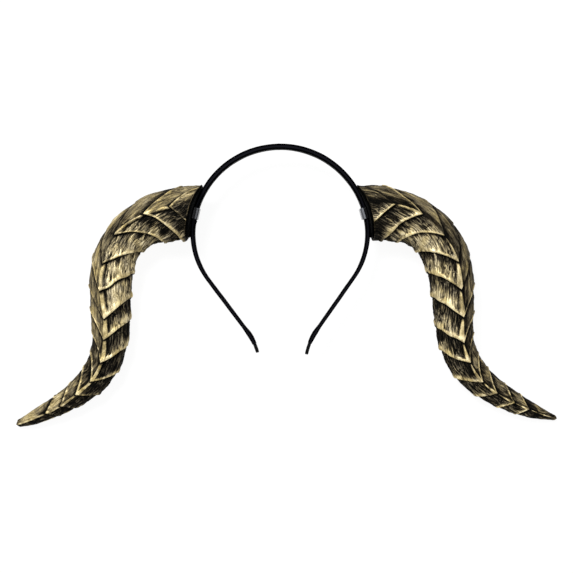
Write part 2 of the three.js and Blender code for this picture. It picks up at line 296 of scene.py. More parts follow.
def mouldedPlastic(name, colours, roughness, shine, grainMm, depthMm):
    # Plain injection moulding: one colour with faint clouding, a fine mould grain and a soft gloss
    look = {"cloudMm": 3, "uneven": 0.08}
    material, shader = newMaterial(name)
    place = addNode(material, "ShaderNodeTexCoord")
    cloud = addNode(material, "ShaderNodeTexNoise", {"Scale": 1 / (look["cloudMm"] * mm), "Detail": 2},
                    {"Vector": place.outputs["Object"]})
    grain = addNode(material, "ShaderNodeTexNoise", {"Scale": 1 / (grainMm * mm), "Detail": 2},
                    {"Vector": place.outputs["Object"]})
    addNode(material, "ShaderNodeValToRGB", {"stops": [(0.3, colours[0]), (0.7, colours[1])]},
            {"Fac": cloud.outputs["Fac"], "Color": shader.inputs["Base Color"]})
    addNode(material, "ShaderNodeMapRange",
            {"To Min": roughness - look["uneven"], "To Max": roughness + look["uneven"]},
            {"Value": grain.outputs["Fac"], "Result": shader.inputs["Roughness"]})
    addNode(material, "ShaderNodeBump", {"Strength": 0.3, "Distance": depthMm * mm},
            {"Height": grain.outputs["Fac"], "Normal": shader.inputs["Normal"]})
    shader.inputs["Specular IOR Level"].default_value = shine
    return material


def smokyPlastic():
    # Half-clear grey plastic: pale where it stands off the band, as painted highlights and the pale floor
    # painted as if seen through it, dark where the black plate shows through
    look = {"cloudMm": 2.5}
    material, shader = newMaterial("smoky grey plastic")
    smoke = addNode(material, "ShaderNodeAttribute", {"attribute_name": "smoke"})
    place = addNode(material, "ShaderNodeTexCoord")
    cloud = addNode(material, "ShaderNodeTexNoise", {"Scale": 1 / (look["cloudMm"] * mm), "Detail": 2},
                    {"Vector": place.outputs["Object"]})
    depth = addNode(material, "ShaderNodeMath", {"operation": "MULTIPLY_ADD", 1: 0.2},
                    {0: cloud.outputs["Fac"], 2: smoke.outputs["Fac"]})
    addNode(material, "ShaderNodeValToRGB", {"stops": [
        (0.0, "#808287"), (0.3, "#64666a"), (0.6, "#36373a"), (1.0, "#040405")]},
        {"Fac": depth.outputs["Value"], "Color": shader.inputs["Base Color"]})
    shader.inputs["Roughness"].default_value = 0.18
    shader.inputs["Specular IOR Level"].default_value = 0.15
    return material


# Horns: a grid rolled into a tube and sculpted row by row, each row swept back in a V from the keels
horn = {
    "columns": ("at", "turn", "width", "depth", "keel", "ridge"),
    "sections": [
        (0, 17, 40.5, 36, 68, 0.02), (22, 29, 38.4, 34.4, 66, 0.07), (38, 46, 35.2, 32.4, 67, 0.08),
        (54, 67, 34.2, 31.2, 67, 0.09), (70, 86, 34.2, 30.8, 65, 0.09), (86, 98, 33.2, 29.8, 65, 0.09),
        (104, 102.5, 30.8, 27.8, 68, 0.09), (120, 101, 28.6, 25.8, 70, 0.09), (135, 89, 26.2, 23.8, 72, 0.09),
        (152, 70, 24.4, 22, 80, 0.09), (168, 55, 21.8, 19.6, 88, 0.09), (192, 42, 17, 15.2, 91, 0.08),
        (210, 36, 12.4, 11.2, 90, 0.07), (229, 31, 4, 4, 90, 0.02),
    ],
    # how far a rim runs back from the keel to each edge, in widths, by its place along the keel
    "innerReach": [(0, 0), (8, 0.55), (18, 0.78), (36, 0.72), (53, 0.86), (73, 0.64), (92, 0.52), (112, 0.54),
                   (131, 0.54), (148, 0.62), (165, 0.6), (180, 0.5), (212, 0.45), (229, 0.15)],
    "outerReach": [(0, 0), (13, 0.36), (30, 0.58), (60, 0.6), (212, 0.6), (229, 0.15)],
    "fullWidth": 33,  # where the relief has its full size, in mm
    "wobble": 1.5, "wobbleLow": 2.2, "wobbleMm": 6, "wobbleShift": 7.3,
    "baseDistance": 66.3, "saddleEnd": 20, "saddleFade": 18, "pitch": 7, "settle": 30, "fadeIn": 34,
    "baseRun": 3, "baseCreep": 0.05, "leastAdvance": 0.02,  # keep the first rows in the base, and apart
    "taperFrom": 200, "taperLength": 29, "tipDropRun": (195, 222),
    "outerColumns": 42, "innerColumns": 72, "scaleRows": 26,
    "lips": ((0.2, 0.4), (0.6, 0.65), (1.2, 0.45)),  # drop over a rim and stand over the next scale
    "keelSpread": 20, "step": 0.058, "twist": 1.4, "twistLength": 70,
    "wall": 2.2, "hollowLength": 182, "hollowRows": 17, "tipLength": 1.6, "tipRows": 8,
    "scaleShift": (31, 17), "drift": (4, 4, 7), "driftReach": (3.2, 2.4, 0),
    # marks of mould and brush: whether they follow the drift, their size in mm across and along the horn,
    # and what is added to the seed for them
    "marks": {
        "slit": (True, 2.1, 12, 1), "gaps": (False, 3.4, 7, 12), "scratch": (True, 1.9, 12, 7),
        "brush": (True, 1.0, 11, 2), "finger": (True, 2.0, 22, 3), "streak": (True, 1.2, 14, 6),
        "cloud": (False, 5, 9, 4), "patch": (False, 3.2, 4, 8), "fine": (False, 1.1, 2.2, 5),
    },
}
# Each seat says how its horn is turned on the band and how base, tip and edges differ from the other's.
# Its trim is what is taken off the inner side in mm, by place along the horn.
# Its scales run from base to tip: where the rim crosses the keel, how far the keel is turned in there,
# in degrees, the width of the rim inside and outside the keel and of the strip along the keel,
# how much of the field inside the keel is gold, and how pale the field outside it is, partly as painted shade
# on facets turned from the light.
scaleColumns = ("rim", "keelTurn", "innerRim", "outerRim", "keelWidth", "innerGold", "outerGoldAndShade")
seats = [
    {"side": "right", "mirror": 1, "angle": 12.9, "lean": 1.6, "seed": 11, "darkening": 0.025,
     "saddleLow": 0.8, "baseFlat": 0.78, "baseDark": 0.9, "tipScale": 0.9, "tipDrop": 0.6,
     "outerSmooth": 0.25, "innerSmooth": 0.6, "edgeDark": 0.45, "paintedEdgeReflection": 0.0,
     "stripRoot": 0.25, "paintedKeelShadow": 0.24, "faint": 0.1,
     "trim": [(0, 0), (229, 0)],
     "scales": [
        (16.5, 5, 1.6, 0.3, 0.0, 0.5, 0.24), (34.5, 5.5, 2.2, 1.5, 2.4, 0.32, 0.24),
        (54.5, 10, 2.4, 0.4, 0.0, 0.68, 0.39), (73.5, 8.5, 2.8, 0.4, 1.4, 0.8, 0.36),
        (93, 9, 3.4, 0.6, 4.4, 0.64, 0.33), (113, 1, 3.8, 1.2, 4.2, 0.6, 0.30),
        (132.5, 3.5, 3.4, 1.6, 4.2, 0.52, 0.28), (149, 0, 2.8, 1.4, 2.8, 0.32, 0.25),
        (166, 1, 2.3, 1.5, 2.3, 0.24, 0.27), (180, 0, 2.2, 1.5, 2.0, 0.24, 0.31),
        (195, 0, 1.8, 1.3, 1.6, 0.22, 0.31), (206.5, 0, 1.2, 1.1, 1.4, 0.2, 0.30),
        (229, 0, 1.0, 1.0, 1.3, 0.22, 0.32)]},
    {"side": "left", "mirror": -1, "angle": 14.7, "lean": -0.6, "seed": 47, "darkening": 0.03,
     "saddleLow": 0.25, "baseFlat": 0.5, "baseDark": 0.2, "tipScale": 0.95, "tipDrop": 0.0,
     "outerSmooth": 0.4, "innerSmooth": 0.55, "edgeDark": 0.25, "paintedEdgeReflection": 1.0,
     "stripRoot": 0.75, "paintedKeelShadow": 0.1, "faint": 0.05,
     "trim": [
        (0, 0), (24, 0.5), (36, 1.4), (52, 2.3), (62, 2.6), (74, 2.2), (84, 1.6), (100, 0.9), (125, 0.5),
        (160, 0.6), (180, 1.5), (200, 1.4), (214, 0.4), (229, 0)],
     "scales": [
        (13.3, 9, 1.5, 2.4, 0.0, 0.10, 0.44), (30.8, 6.5, 1.8, 0.8, 2.6, 0.34, 0.48),
        (53.4, -1, 2.2, 0.5, 1.8, 0.53, 0.46), (73.3, 3, 2.6, 0.4, 0.0, 0.76, 0.46),
        (92.3, 2, 2.8, 1.0, 2.8, 0.92, 0.45), (111.4, 8.5, 3.2, 1.1, 3.4, 0.98, 0.44),
        (127, 6.5, 3.8, 1.3, 3.4, 0.48, 0.46), (144.2, 8, 4.2, 1.4, 3.0, 0.30, 0.38),
        (160.7, 4.5, 1.8, 3.0, 2.4, 0.12, 0.24), (175, -2, 1.4, 2.8, 2.2, 0.08, 0.22),
        (189.7, 0, 0.9, 2.4, 1.8, 0.05, 0.34), (202, 0, 0.7, 1.4, 1.6, 0.03, 0.6),
        (226, 0, 0.7, 1.0, 1.5, 0.03, 0.58)]},
]
for seat in seats:
    seat["keelTurn"] = smoothTable([row[0] for row in seat["scales"]], [row[1] for row in seat["scales"]])
    seat["innerTrim"] = smoothTable(*zip(*seat["trim"]))
section = {
    name: smoothTable([row[0] for row in horn["sections"]], [row[i] for row in horn["sections"]])
    for i, name in enumerate(horn["columns"])
}
innerReach, outerReach = (smoothTable(*zip(*horn[name])) for name in ("innerReach", "outerReach"))
walkPlaces = np.arange(horn["sections"][-1][0] + 1)
walkHeading = np.radians(-section["turn"](walkPlaces + 0.5))
walkX = np.concatenate([[0], np.cumsum(np.cos(walkHeading))])
walkY = np.concatenate([[0], np.cumsum(np.sin(walkHeading))])


def hornHeight(at):  # middle of a section over the surface that the horn lies on
    rise = np.maximum(0, horn["settle"] - at) ** 2 / (2 * horn["settle"])
    return section["depth"](at) / 2 + rise * math.tan(math.radians(horn["pitch"]))


def hornColumns():  # facet of each column and share along it: outer edge, keel, inner edge and back again
    outer = [(True, i / horn["outerColumns"]) for i in range(horn["outerColumns"])]
    inner = [(False, i / horn["innerColumns"]) for i in range(horn["innerColumns"] + 1)]
    front = outer + inner
    rear = front[-2::-1]
    isOuter = np.array([c[0] for c in front + rear])
    share = np.array([c[1] for c in front + rear])
    isRear = np.arange(len(isOuter)) >= len(front)
    return isOuter, share, isRear


columnOuter, columnShare, columnRear = hornColumns()


def hornAngles(at, seat):  # angle of each column from the outer edge, the same round the back, and the keel's
    keel = section["keel"](at) + seat["keelTurn"](at)
    angle = np.where(columnOuter, keel * columnShare, keel + (180 - keel) * columnShare)
    return angle, np.where(columnRear, 360 - angle, angle), keel


def baseFade(raw):  # 0 on the base's plane, where the scales have run out
    return ramp(0.3, 4, raw)


def hornSweep(at, part, number, over, seat):  # where each point of a row lies along the horn
    angle, turned, keel = hornAngles(at, seat)
    across, keelAcross = np.cos(np.radians(angle)), np.cos(np.radians(keel))
    inner = np.clip((keelAcross - across) / (keelAcross + 1), 0, 1) * innerReach(at)
    outer = np.clip((across - keelAcross) / (1 - keelAcross), 0, 1) * outerReach(at)
    width = section["width"](at)
    lumpCount = width / 2 / horn["wobbleMm"]
    ring = [lumpCount * np.cos(np.radians(turned)), lumpCount * np.sin(np.radians(turned))]
    shift = horn["wobbleShift"]
    waves = [lumps(np.stack(np.broadcast_arrays(*ring, shift * n), axis=-1), seat["seed"] + 9) - 0.5
             for n in (number - 1, number)]
    reach = mix(horn["wobble"], horn["wobbleLow"], ramp(60, 110, at))
    reach = reach * np.clip(width / horn["fullWidth"], 0, 1)
    wave = mix(waves[0], waves[1], part) * reach
    raw = at - np.where(columnOuter, outer, inner) * width + wave * ramp(10, 30, at)
    raw = np.maximum(raw, horn["leastAdvance"] * at)
    return raw + over * baseFade(raw)


def saddle(y, seat):  # how far the base is cut back to follow the band's curve, less so at its lower end
    y = np.clip(y, -horn["saddleEnd"], horn["saddleEnd"])
    cut = horn["baseDistance"] - np.sqrt(horn["baseDistance"] ** 2 - y ** 2)
    return cut * np.where(y < 0, seat["saddleLow"], 1)


def baseTilt(z, seat):  # how far out the base's plane lies at a height, less so in its upper half
    return math.tan(math.radians(horn["pitch"])) * (z - seat["baseFlat"] * np.maximum(z, 0))


def seatPlace(seat):  # middle of a seat from the band's centre, in mm, and the turn of its own frame
    angle = math.radians(seat["angle"])
    turn = math.radians(seat["angle"] + seat["lean"])
    return horn["baseDistance"] * math.cos(angle), horn["baseDistance"] * math.sin(angle), turn


def inFrame(points, seat):  # from a seat's own frame, in mm, x outwards, to the scene's
    seatX, seatY, turn = seatPlace(seat)
    x = seatX + points[..., 0] * math.cos(turn) - points[..., 1] * math.sin(turn)
    y = seatY + points[..., 0] * math.sin(turn) + points[..., 1] * math.cos(turn)
    return np.stack([x * seat["mirror"], y, points[..., 2]], axis=-1) * mm + np.array(bandMiddle)


def hornPoints(at, raw, lift, seat):  # rows of points, lifted off the plain form, in the horn's own frame
    nearTip = np.clip((at - horn["taperFrom"]) / horn["taperLength"], 0, 1)
    taper = 1 - (1 - seat["tipScale"]) * nearTip ** 2
    width, depth = section["width"](at), section["depth"](at)
    angle, turned, keel = hornAngles(at, seat)
    crest = 1 + section["ridge"](at) * np.exp(-np.abs(angle - keel) / horn["keelSpread"])
    across, above = np.cos(np.radians(turned)) * crest, np.sin(np.radians(turned)) * crest
    lean = np.clip(1 - raw / horn["fadeIn"], 0, 1)
    slant = math.tan(math.radians(horn["sections"][0][1]))
    place = raw + lean * (baseTilt((depth / 2 + lift) * above, seat) - slant * (width / 2 + lift) * across)
    lift = lift - seat["innerTrim"](place) * np.clip(-across, 0, 1) ** 1.5
    heading = np.radians(-section["turn"](place))
    step = np.clip(np.floor(place), 0, len(walkPlaces)).astype(int)
    flat = (section["width"](place) / 2 + lift) * across * taper
    flat = flat - seat["tipDrop"] * ramp(*horn["tipDropRun"], at)
    x = walkX[step] + np.cos(heading) * (place - step) - np.sin(heading) * flat
    y = walkY[step] + np.sin(heading) * (place - step) + np.cos(heading) * flat
    z = (section["depth"](place) / 2 + lift) * above * taper + hornHeight(place) - hornHeight(0.0)
    x = mix(baseTilt(z, seat) + horn["baseCreep"] * raw, x, np.clip(raw / horn["baseRun"], 0, 1))
    x = x - saddle(y, seat) * (1 - ramp(0, horn["saddleFade"], raw))
    return np.stack([x, y, z], axis=-1), place


def brushMarks(turned, girth, number, seat, place):
    # Marks from 0 to 1 on the straightened horn, shifted from scale to scale, and where each point lies there
    around = np.radians(turned) - horn["twist"] * (1 - np.exp(-place / horn["twistLength"]))
    shiftX, shiftY = horn["scaleShift"]
    grain = np.stack(np.broadcast_arrays(
        girth * np.cos(around) + shiftX * number, girth * np.sin(around) + shiftY * number, place), axis=-1)
    drift = lumps(grain / horn["drift"], seat["seed"]) - 0.5
    fineness = np.clip(2 * girth / horn["fullWidth"], 0.5, 1)[..., None]
    steady = grain / fineness
    grain = grain + drift[..., None] * horn["driftReach"]
    wandering = grain / fineness
    marks = {}
    for name, (drifts, across, along, added) in horn["marks"].items():
        places = wandering if drifts else steady
        marks[name] = lumps(places / (across, across, along), seat["seed"] + added)
    return marks, grain


def scaleRelief(at, part, number, drop, seat, place):
    # Height over the plain form, cover of gold (with painted shade and a painted reflection in it) and depth
    # of carved strokes, for rows of scales
    own = np.array(seat["scales"])[number]
    scale = {name: own[..., i] for i, name in enumerate(scaleColumns)}
    width = section["width"](at)
    size = np.clip(width / horn["fullWidth"], 0.3, 1.1)
    angle, turned, keel = hornAngles(at, seat)
    offKeel = np.radians(angle - keel) * (width + section["depth"](at)) / 4  # mm over the surface, inwards
    inner = ramp(-0.6, 0.6, offKeel)
    edge = ramp(0.6, 1.0, np.where(columnOuter, 1 - columnShare, columnShare))  # 1 on the silhouettes
    marks, grain = brushMarks(turned, section["width"](scale["rim"]) / 2, number, seat, place)
    slit, scratch = (1 - ramp(0.0, 0.22, np.abs(2 * marks[name] - 1)) for name in ("slit", "scratch"))
    slit = slit * ramp(0.34, 0.54, marks["gaps"])
    stroke, bristle = ramp(0.34, 0.66, marks["brush"]), ramp(0.56, 0.72, marks["brush"])
    finger, streak, cloud, patch, fine = (
        marks[name] - 0.5 for name in ("finger", "streak", "cloud", "patch", "fine"))

    # rim along the scale's end, and the strip along the keel that widens towards it
    spread = mix(0.75, 1.3, ramp(0.1, 0.6, columnShare))  # broader towards the inner edge
    fingered = scale["innerRim"] * spread * (1.1 + 1.5 * finger + 0.5 * cloud)
    rimReach = mix(scale["outerRim"], fingered, inner)
    rim = 1 - ramp(0.35, 1.0, (scale["rim"] - at) / rimReach)
    rim = rim * mix(ramp(0.4, 1.0, scale["outerRim"]), 1, inner)
    stripHalf = scale["keelWidth"] / 2 * mix(seat["stripRoot"], 1, part)
    strip = 1 - ramp(stripHalf - 0.3, stripHalf + 0.3, np.abs(offKeel - 0.4 * stripHalf))
    strip = strip * ramp(0.02, 0.12, part) * ramp(0, 1, scale["keelWidth"])
    grooveAt = 1.4 * stripHalf + 0.7 * size
    groove = hill(offKeel, grooveAt, 0.5 * size) * ramp(0.03, 0.12, part) * (1 - ramp(0.7, 0.92, part))
    groove = groove * ramp(0, 1, scale["keelWidth"])
    ledge = np.maximum(rim, strip)
    firstScale = number == 0
    step = horn["step"] * width * np.where(firstScale, 0.3 * ramp(0, 0.4, part), 1) * mix(0.5, 1, inner)
    innerSmooth = mix(seat["innerSmooth"], 0.25, ramp(95, 125, at))
    step = step * (1 - edge * np.where(columnOuter, seat["outerSmooth"], innerSmooth))
    sink = step * (1 - part ** 0.85) * (1 - 0.5 * strip)
    lift = -sink - 0.35 * size * (1 - ledge)
    lift = lift + 0.4 * size * rim * hill(at, scale["rim"] - 0.45 * rimReach, 0.6 * rimReach)
    lift = lift + 0.2 * size * strip - 0.8 * size * groove
    carved = (1 - 0.7 * ledge) * ramp(0.0, 0.12, part) * mix(0.45, 1, inner)
    innerLift = 0.45 * (stroke - 0.5) - 0.75 * slit + 0.35 * scratch + 0.8 * cloud
    outerLift = (0.7 * streak + 0.9 * cloud - 0.3 * slit) / 0.6
    lift = lift + size * carved * mix(outerLift, innerLift, inner)
    lift = lift + 0.15 * size * fine + 0.4 * size * ledge * patch - drop * size * (1 - 0.5 * edge)
    lift = lift + size * edge * (0.6 * patch + 0.3 * fine)

    # gold: brushed on from the rim up, broken by the strokes
    gold = scale["innerGold"]
    edgeDark = edge * inner * mix(seat["edgeDark"], 0.26, ramp(60, 100, at))
    line = 1 - gold + 0.4 * finger + 0.3 * cloud + edgeDark
    brushed = ramp(line - 0.28, line + 0.28, part)
    bright = 0.4 + 0.3 * gold + mix(0.22, 0.12, gold) * (stroke - 0.45) + 0.25 * cloud + 0.1 * scratch
    grazed = (0.28 * bristle + 0.25 * scratch) * mix(0.25, 1, gold)
    faint = seat["faint"] + 0.1 * stroke * np.sqrt(gold) + grazed
    innerPaint = mix(faint, bright, brushed) * (1 - 0.8 * slit)
    besideGroove = hill(offKeel, grooveAt + 2 * size, 2.6 * size) * (1 - ramp(0.4, 0.85, part))
    innerPaint = innerPaint * (1 - 0.5 * besideGroove * (1.2 - gold))
    # field outside the keel: its gold is partly painted shade, darker as the outer facets turn from the light
    outerPaint = scale["outerGoldAndShade"] + 0.28 * streak + 0.3 * cloud
    outerPaint = outerPaint + 0.1 * (stroke - 0.4) + 0.1 * (scratch - 0.3)
    # painted shadow: each outer facet darkened at its root, under the rim of the scale before
    outerPaint = outerPaint - 0.36 * (1 - ramp(0.05, 0.45, part)) - 0.16 * slit
    # painted shadow on the outer side of the keel, by each seat's share
    outerPaint = outerPaint - seat["paintedKeelShadow"] * hill(offKeel, -1.5 * size, 2.2 * size) - 0.12 * edge + 0.08
    fieldPaint = mix(outerPaint, innerPaint, inner)
    worn = mix(0.3, 0.8, ramp(140, 185, at)) * patch + mix(0.25, 0.4, ramp(140, 185, at)) * cloud
    rimPaint = mix(0.72, 0.86 * ramp(0.0, 0.16, gold) - 0.16 * ramp(0.3, 0.9, columnShare), inner)
    rimPaint = rimPaint + worn + 0.1 * (stroke - 0.5)
    ledgePaint = np.maximum((rimPaint - 0.3 * slit) * (rim > 0), (0.78 + worn - 0.2 * slit) * strip)
    paint = mix(fieldPaint, ledgePaint, ledge) * (1 - groove)
    paint = paint * ramp(0.03, 0.19 + 0.12 * finger, part + 10 * firstScale)  # painted shadow: black under the rim of the scale before
    # painted shade: the rows that drop under a rim's lip go dark
    paint = paint * (1 - ramp(0.2, 0.8, drop)) * (1 - 1.6 * edgeDark * (1 - rim))
    atBase = (1 - ramp(7, 18, place)) * inner * ramp(0.3, 0.45, columnShare)
    paint = paint * (1 - seat["baseDark"] * atBase)
    # painted reflection of the pale floor: a pale line along the lower edge near the tip, laid on like
    # brushed gold
    pale = seat["paintedEdgeReflection"] * ramp(170, 195, at) * ramp(0.66, 0.9, columnShare) * ramp(0.05, 0.2, part)
    pale = pale * ramp(-0.3, 0.3, streak + 0.6 * cloud)
    paint = np.maximum(paint, pale * inner) * (1 - 0.6 * ramp(222, 227, at))
    return lift, paint, carved, grain


def hornRows(seat):
    # Each row: place along the keel, part of its scale, number of the scale, drop over the rim's lip
    # and how far the lip stands over the next scale
    rims = [0] + [row[0] for row in seat["scales"]]
    rows = []
    for number in range(len(seat["scales"])):
        root, rim = rims[number], rims[number + 1]
        for i in range(horn["scaleRows"]):
            even = i / (horn["scaleRows"] - 1)
            part = even - 0.4 * math.sin(2 * math.pi * even) / (2 * math.pi)  # closer rows at root and rim
            rows.append((mix(root, rim, part), part, number, 0, 0))
        if number < len(seat["scales"]) - 1:
            lip = section["width"](rim) / horn["fullWidth"]
            rows += [(rim, 1, number, drop, over * lip) for drop, over in horn["lips"]]
    return [np.array(column)[:, None] for column in zip(*rows)]


def buildHorn(seat, material):
    at, part, number, drop, over = hornRows(seat)
    plain = np.zeros((1, len(columnOuter)))
    raw = hornSweep(at, part, number, over, seat)
    _, place = hornPoints(at, raw, plain, seat)
    lift, paint, carved, grain = scaleRelief(at, part, number, drop, seat, place)
    lift = lift * baseFade(raw)
    wear = ramp(0.3, 0.7, lumps(grain / 4, seat["seed"] + 13))
    paint = np.maximum(paint, mix(0.12, 0.42, wear) * (1 - ramp(0.4, 1.1, raw)))  # worn rim of the open base
    outside, _ = hornPoints(at, raw, lift, seat)

    # the hollow behind the open base, from its blind end out, and the rounded end of the tip
    hollowAt = np.linspace(horn["hollowLength"], 0, horn["hollowRows"] + 1)[:, None]
    inward = -(horn["wall"] + 0.06 * section["width"](hollowAt)) + plain
    inside, _ = hornPoints(hollowAt, hollowAt + plain, inward, seat)
    rounding = np.radians(np.linspace(0, 90, horn["tipRows"]))[1:, None]
    tipAt = seat["scales"][-1][0] + horn["tipLength"] * np.sin(rounding)
    tipLift = lift[-1] - (section["width"](tipAt) / 2 + lift[-1]) * (1 - np.cos(rounding))
    nose, _ = hornPoints(tipAt, raw[-1] + horn["tipLength"] * np.sin(rounding), tipLift, seat)

    points = np.concatenate([inside[:1], inside, outside, nose])
    points[0] = points[0].mean(axis=0)
    points[-1] = points[-1].mean(axis=0)
    before, after = len(inside) + 1, len(nose)
    tipPaint = np.repeat(paint[-1:], after, axis=0)
    paint = np.concatenate([np.zeros((before, paint.shape[1])), paint, tipPaint])
    carved = np.pad(carved, ((before, after), (0, 0)))
    grain = np.pad(grain, ((before, after), (0, 0), (0, 0)), mode="edge")
    if seat["mirror"] < 0:  # a mirrored horn has its columns turned round, so that its faces still point out
        points, paint, carved, grain = (rows[:, ::-1] for rows in (points, paint, carved, grain))

    placed = inFrame(points, seat)
    placed[..., 2] = np.maximum(placed[..., 2], 0)  # pressed flat where it lies on the surface

    deselect()
    rows, columns = paint.shape
    bpy.ops.mesh.primitive_grid_add(x_subdivisions=columns - 1, y_subdivisions=rows - 1, size=1)
    piece = bpy.context.object
    setPoints(piece, placed)
    setAttribute(piece, "paint", "FLOAT", paint)
    setAttribute(piece, "carved", "FLOAT", carved)
    setAttribute(piece, "grain", "FLOAT_VECTOR", grain)
    editing()
    bpy.ops.mesh.remove_doubles(threshold=0.0005 * mm)  # closes the tube along its seam and at both ends
    bpy.ops.object.mode_set(mode="OBJECT")
    bpy.ops.object.shade_smooth()
    finishPiece(piece, "horn_" + seat["side"] + "_skin", material)
    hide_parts("horn_" + seat["side"])
    print("horn", seat["side"], len(piece.data.polygons), "faces")


for seat in seats:
    buildHorn(seat, antiqueGold("antique gold on vinyl " + seat["side"], seat["darkening"]))


# Ribbon round the band: its section is spun and extruded down one half, then mirrored

def ribbonSection():  # offset from the centreline and height of each point round the section
    half, edge = band["thick"][0] / 2, band["width"] / 2
    turn = np.radians(np.linspace(0, 90, 6))
    quarter = [(0, edge - band["seamDeep"]), (band["seamHalf"], edge - 0.3 * band["seamDeep"])]
    corner = band["edgeRound"]
    quarter += list(zip(half - corner * (1 - np.sin(turn)), edge - corner * (1 - np.cos(turn))))
    quarter += [(half, 0.55 * edge), (half, 0.28 * edge), (half, 0)]
    side = quarter + [(x, -z) for x, z in quarter[-2::-1]]
    return np.array(side + [(-x, z) for x, z in side[-2:0:-1]])


def bandCentreline():  # points of one half, their distance from the crown, and outward normals
    runs = [
        (band["crownRadius"], math.radians(band["crownTurn"])),
        (band["sideRadius"], math.radians(band["sideTurn"])),
        (None, band["armLength"]),
        (-band["flareRadius"], -math.radians(band["flareTurn"])),
    ]
    lengths = [abs(radius * turn) if radius else turn for radius, turn in runs]
    at = np.arange(0, sum(lengths) + band["linePastEnd"], band["lineStep"])
    bend = np.zeros(len(at))
    start = 0
    for (radius, _), length in zip(runs, lengths):
        if radius:
            bend += np.clip(at - start, 0, length) / radius
        start += length
    step = at[1] - at[0]
    middle = -(bend[1:] + bend[:-1]) / 2
    x = np.concatenate([[0], np.cumsum(np.cos(middle)) * step])
    y = band["crownRadius"] + np.concatenate([[0], np.cumsum(np.sin(middle)) * step])
    return np.stack([x, y], axis=-1), at, np.stack([np.sin(bend), np.cos(bend)], axis=-1)


def buildRibbon(material):
    offset, z = ribbonSection().T
    piece = addOutline(np.stack([0 * offset, band["crownRadius"] + offset, z], axis=-1))
    axis = (0, 0, 1)
    crown, side = math.radians(band["crownTurn"]), math.radians(band["crownTurn"] + band["sideTurn"])
    bpy.ops.mesh.spin(steps=band["crownSteps"], angle=crown, center=(0, 0, 0), axis=axis)
    outwards = Vector((math.sin(crown), math.cos(crown), 0))
    sideCentre = outwards * (band["crownRadius"] - band["sideRadius"]) * mm
    bpy.ops.mesh.spin(steps=band["sideSteps"], angle=side - crown, center=sideCentre, axis=axis)
    ahead = Vector((math.cos(side), -math.sin(side), 0))
    outwards = Vector((math.sin(side), math.cos(side), 0))
    for _ in range(band["armSteps"]):
        bpy.ops.mesh.extrude_region_move(
            TRANSFORM_OT_translate={"value": ahead * band["armLength"] * mm / band["armSteps"]})
    armEnd = sideCentre + outwards * band["sideRadius"] * mm + ahead * band["armLength"] * mm
    flare = math.radians(band["flareTurn"]) - band["bareTip"] / band["flareRadius"]
    flareCentre = armEnd + outwards * band["flareRadius"] * mm
    bpy.ops.mesh.spin(steps=band["flareSteps"], angle=-flare, center=flareCentre, axis=axis)
    bpy.ops.mesh.edge_face_add()
    bpy.ops.object.mode_set(mode="OBJECT")
    mirror = piece.modifiers.new("other half", "MIRROR")
    mirror.merge_threshold = 0.01 * mm
    bpy.ops.object.modifier_apply(modifier=mirror.name)
    normalsOut()

    # thickness along the way, with the slight waves of glued ribbon
    points = pointsMm(piece)
    line, lineAt, normals = bandCentreline()
    half = np.stack([np.abs(points[:, 0]), points[:, 1]], axis=-1)
    sign, z = np.sign(points[:, 0]), points[:, 2]
    blocks = np.array_split(half, 20)  # a few at a time, to spare memory
    nearest = np.concatenate([((block[:, None] - line) ** 2).sum(-1).argmin(1) for block in blocks])
    at, normal = lineAt[nearest], normals[nearest]
    offset = ((half - line[nearest]) * normal).sum(-1)
    wave = lumps(np.stack([at / 8, z / 3, sign], axis=-1), 5) - 0.5
    thicker = np.interp(at, band["thickAt"], band["thick"]) / band["thick"][0]
    moved = offset * (thicker - 1) + band["waves"] * wave * np.sign(offset)
    nub = hill(at * sign, band["nubAt"], band["nubSpread"]) * ramp(0, 2, z)
    moved = moved - band["nubHigh"] * nub * (offset < 0)
    x = points[:, 0] + sign * normal[:, 0] * moved
    y = points[:, 1] + normal[:, 1] * moved
    setPoints(piece, np.stack([x, y, z], axis=-1) * mm + np.array(bandMiddle))
    onSeam = (np.abs(offset) < 1.2 * band["seamHalf"]) & (np.abs(z) > band["width"] / 2 - 0.5)
    setAttribute(piece, "run", "FLOAT_VECTOR", np.stack([at * sign, offset, z], axis=-1))
    # the seam mask, painted paler in the satin as sheen
    setAttribute(piece, "seam", "FLOAT", onSeam)
    bpy.ops.object.shade_smooth_by_angle(angle=math.radians(50))
    finishPiece(piece, "ribbon_wrap", material)
    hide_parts("headband")
    print("ribbon", len(piece.data.polygons), "faces")


buildRibbon(satinRibbon())


# Base plates: a bevelled oval disc, bent to the band's curve, thinner where the band crosses it
plate = {
    "thick": 1.6, "channelThick": 0.6, "thinnest": 0.12, "channelHalf": 4.3, "channelSlope": 0.9,
    "channelSlack": 0.1, "inset": 0.6, "endInset": 1.6, "round": 0.5, "gap": 0.3,
    "bandGap": 0.1, "bandRun": 140, "corners": 96, "rings": 12,
}


def bandFace(seat):  # the ribbon's outer face in a seat's own frame: places across it, and how far out
    line, at, normals = bandCentreline()
    near = at < plate["bandRun"]
    face = (line + normals * np.interp(at, band["thickAt"], band["thick"])[:, None] / 2)[near]
    seatX, seatY, turn = seatPlace(seat)
    x, y = face[:, 0] - seatX, face[:, 1] - seatY
    across, out = y * math.cos(turn) - x * math.sin(turn), x * math.cos(turn) + y * math.sin(turn)
    return across[::-1], out[::-1]


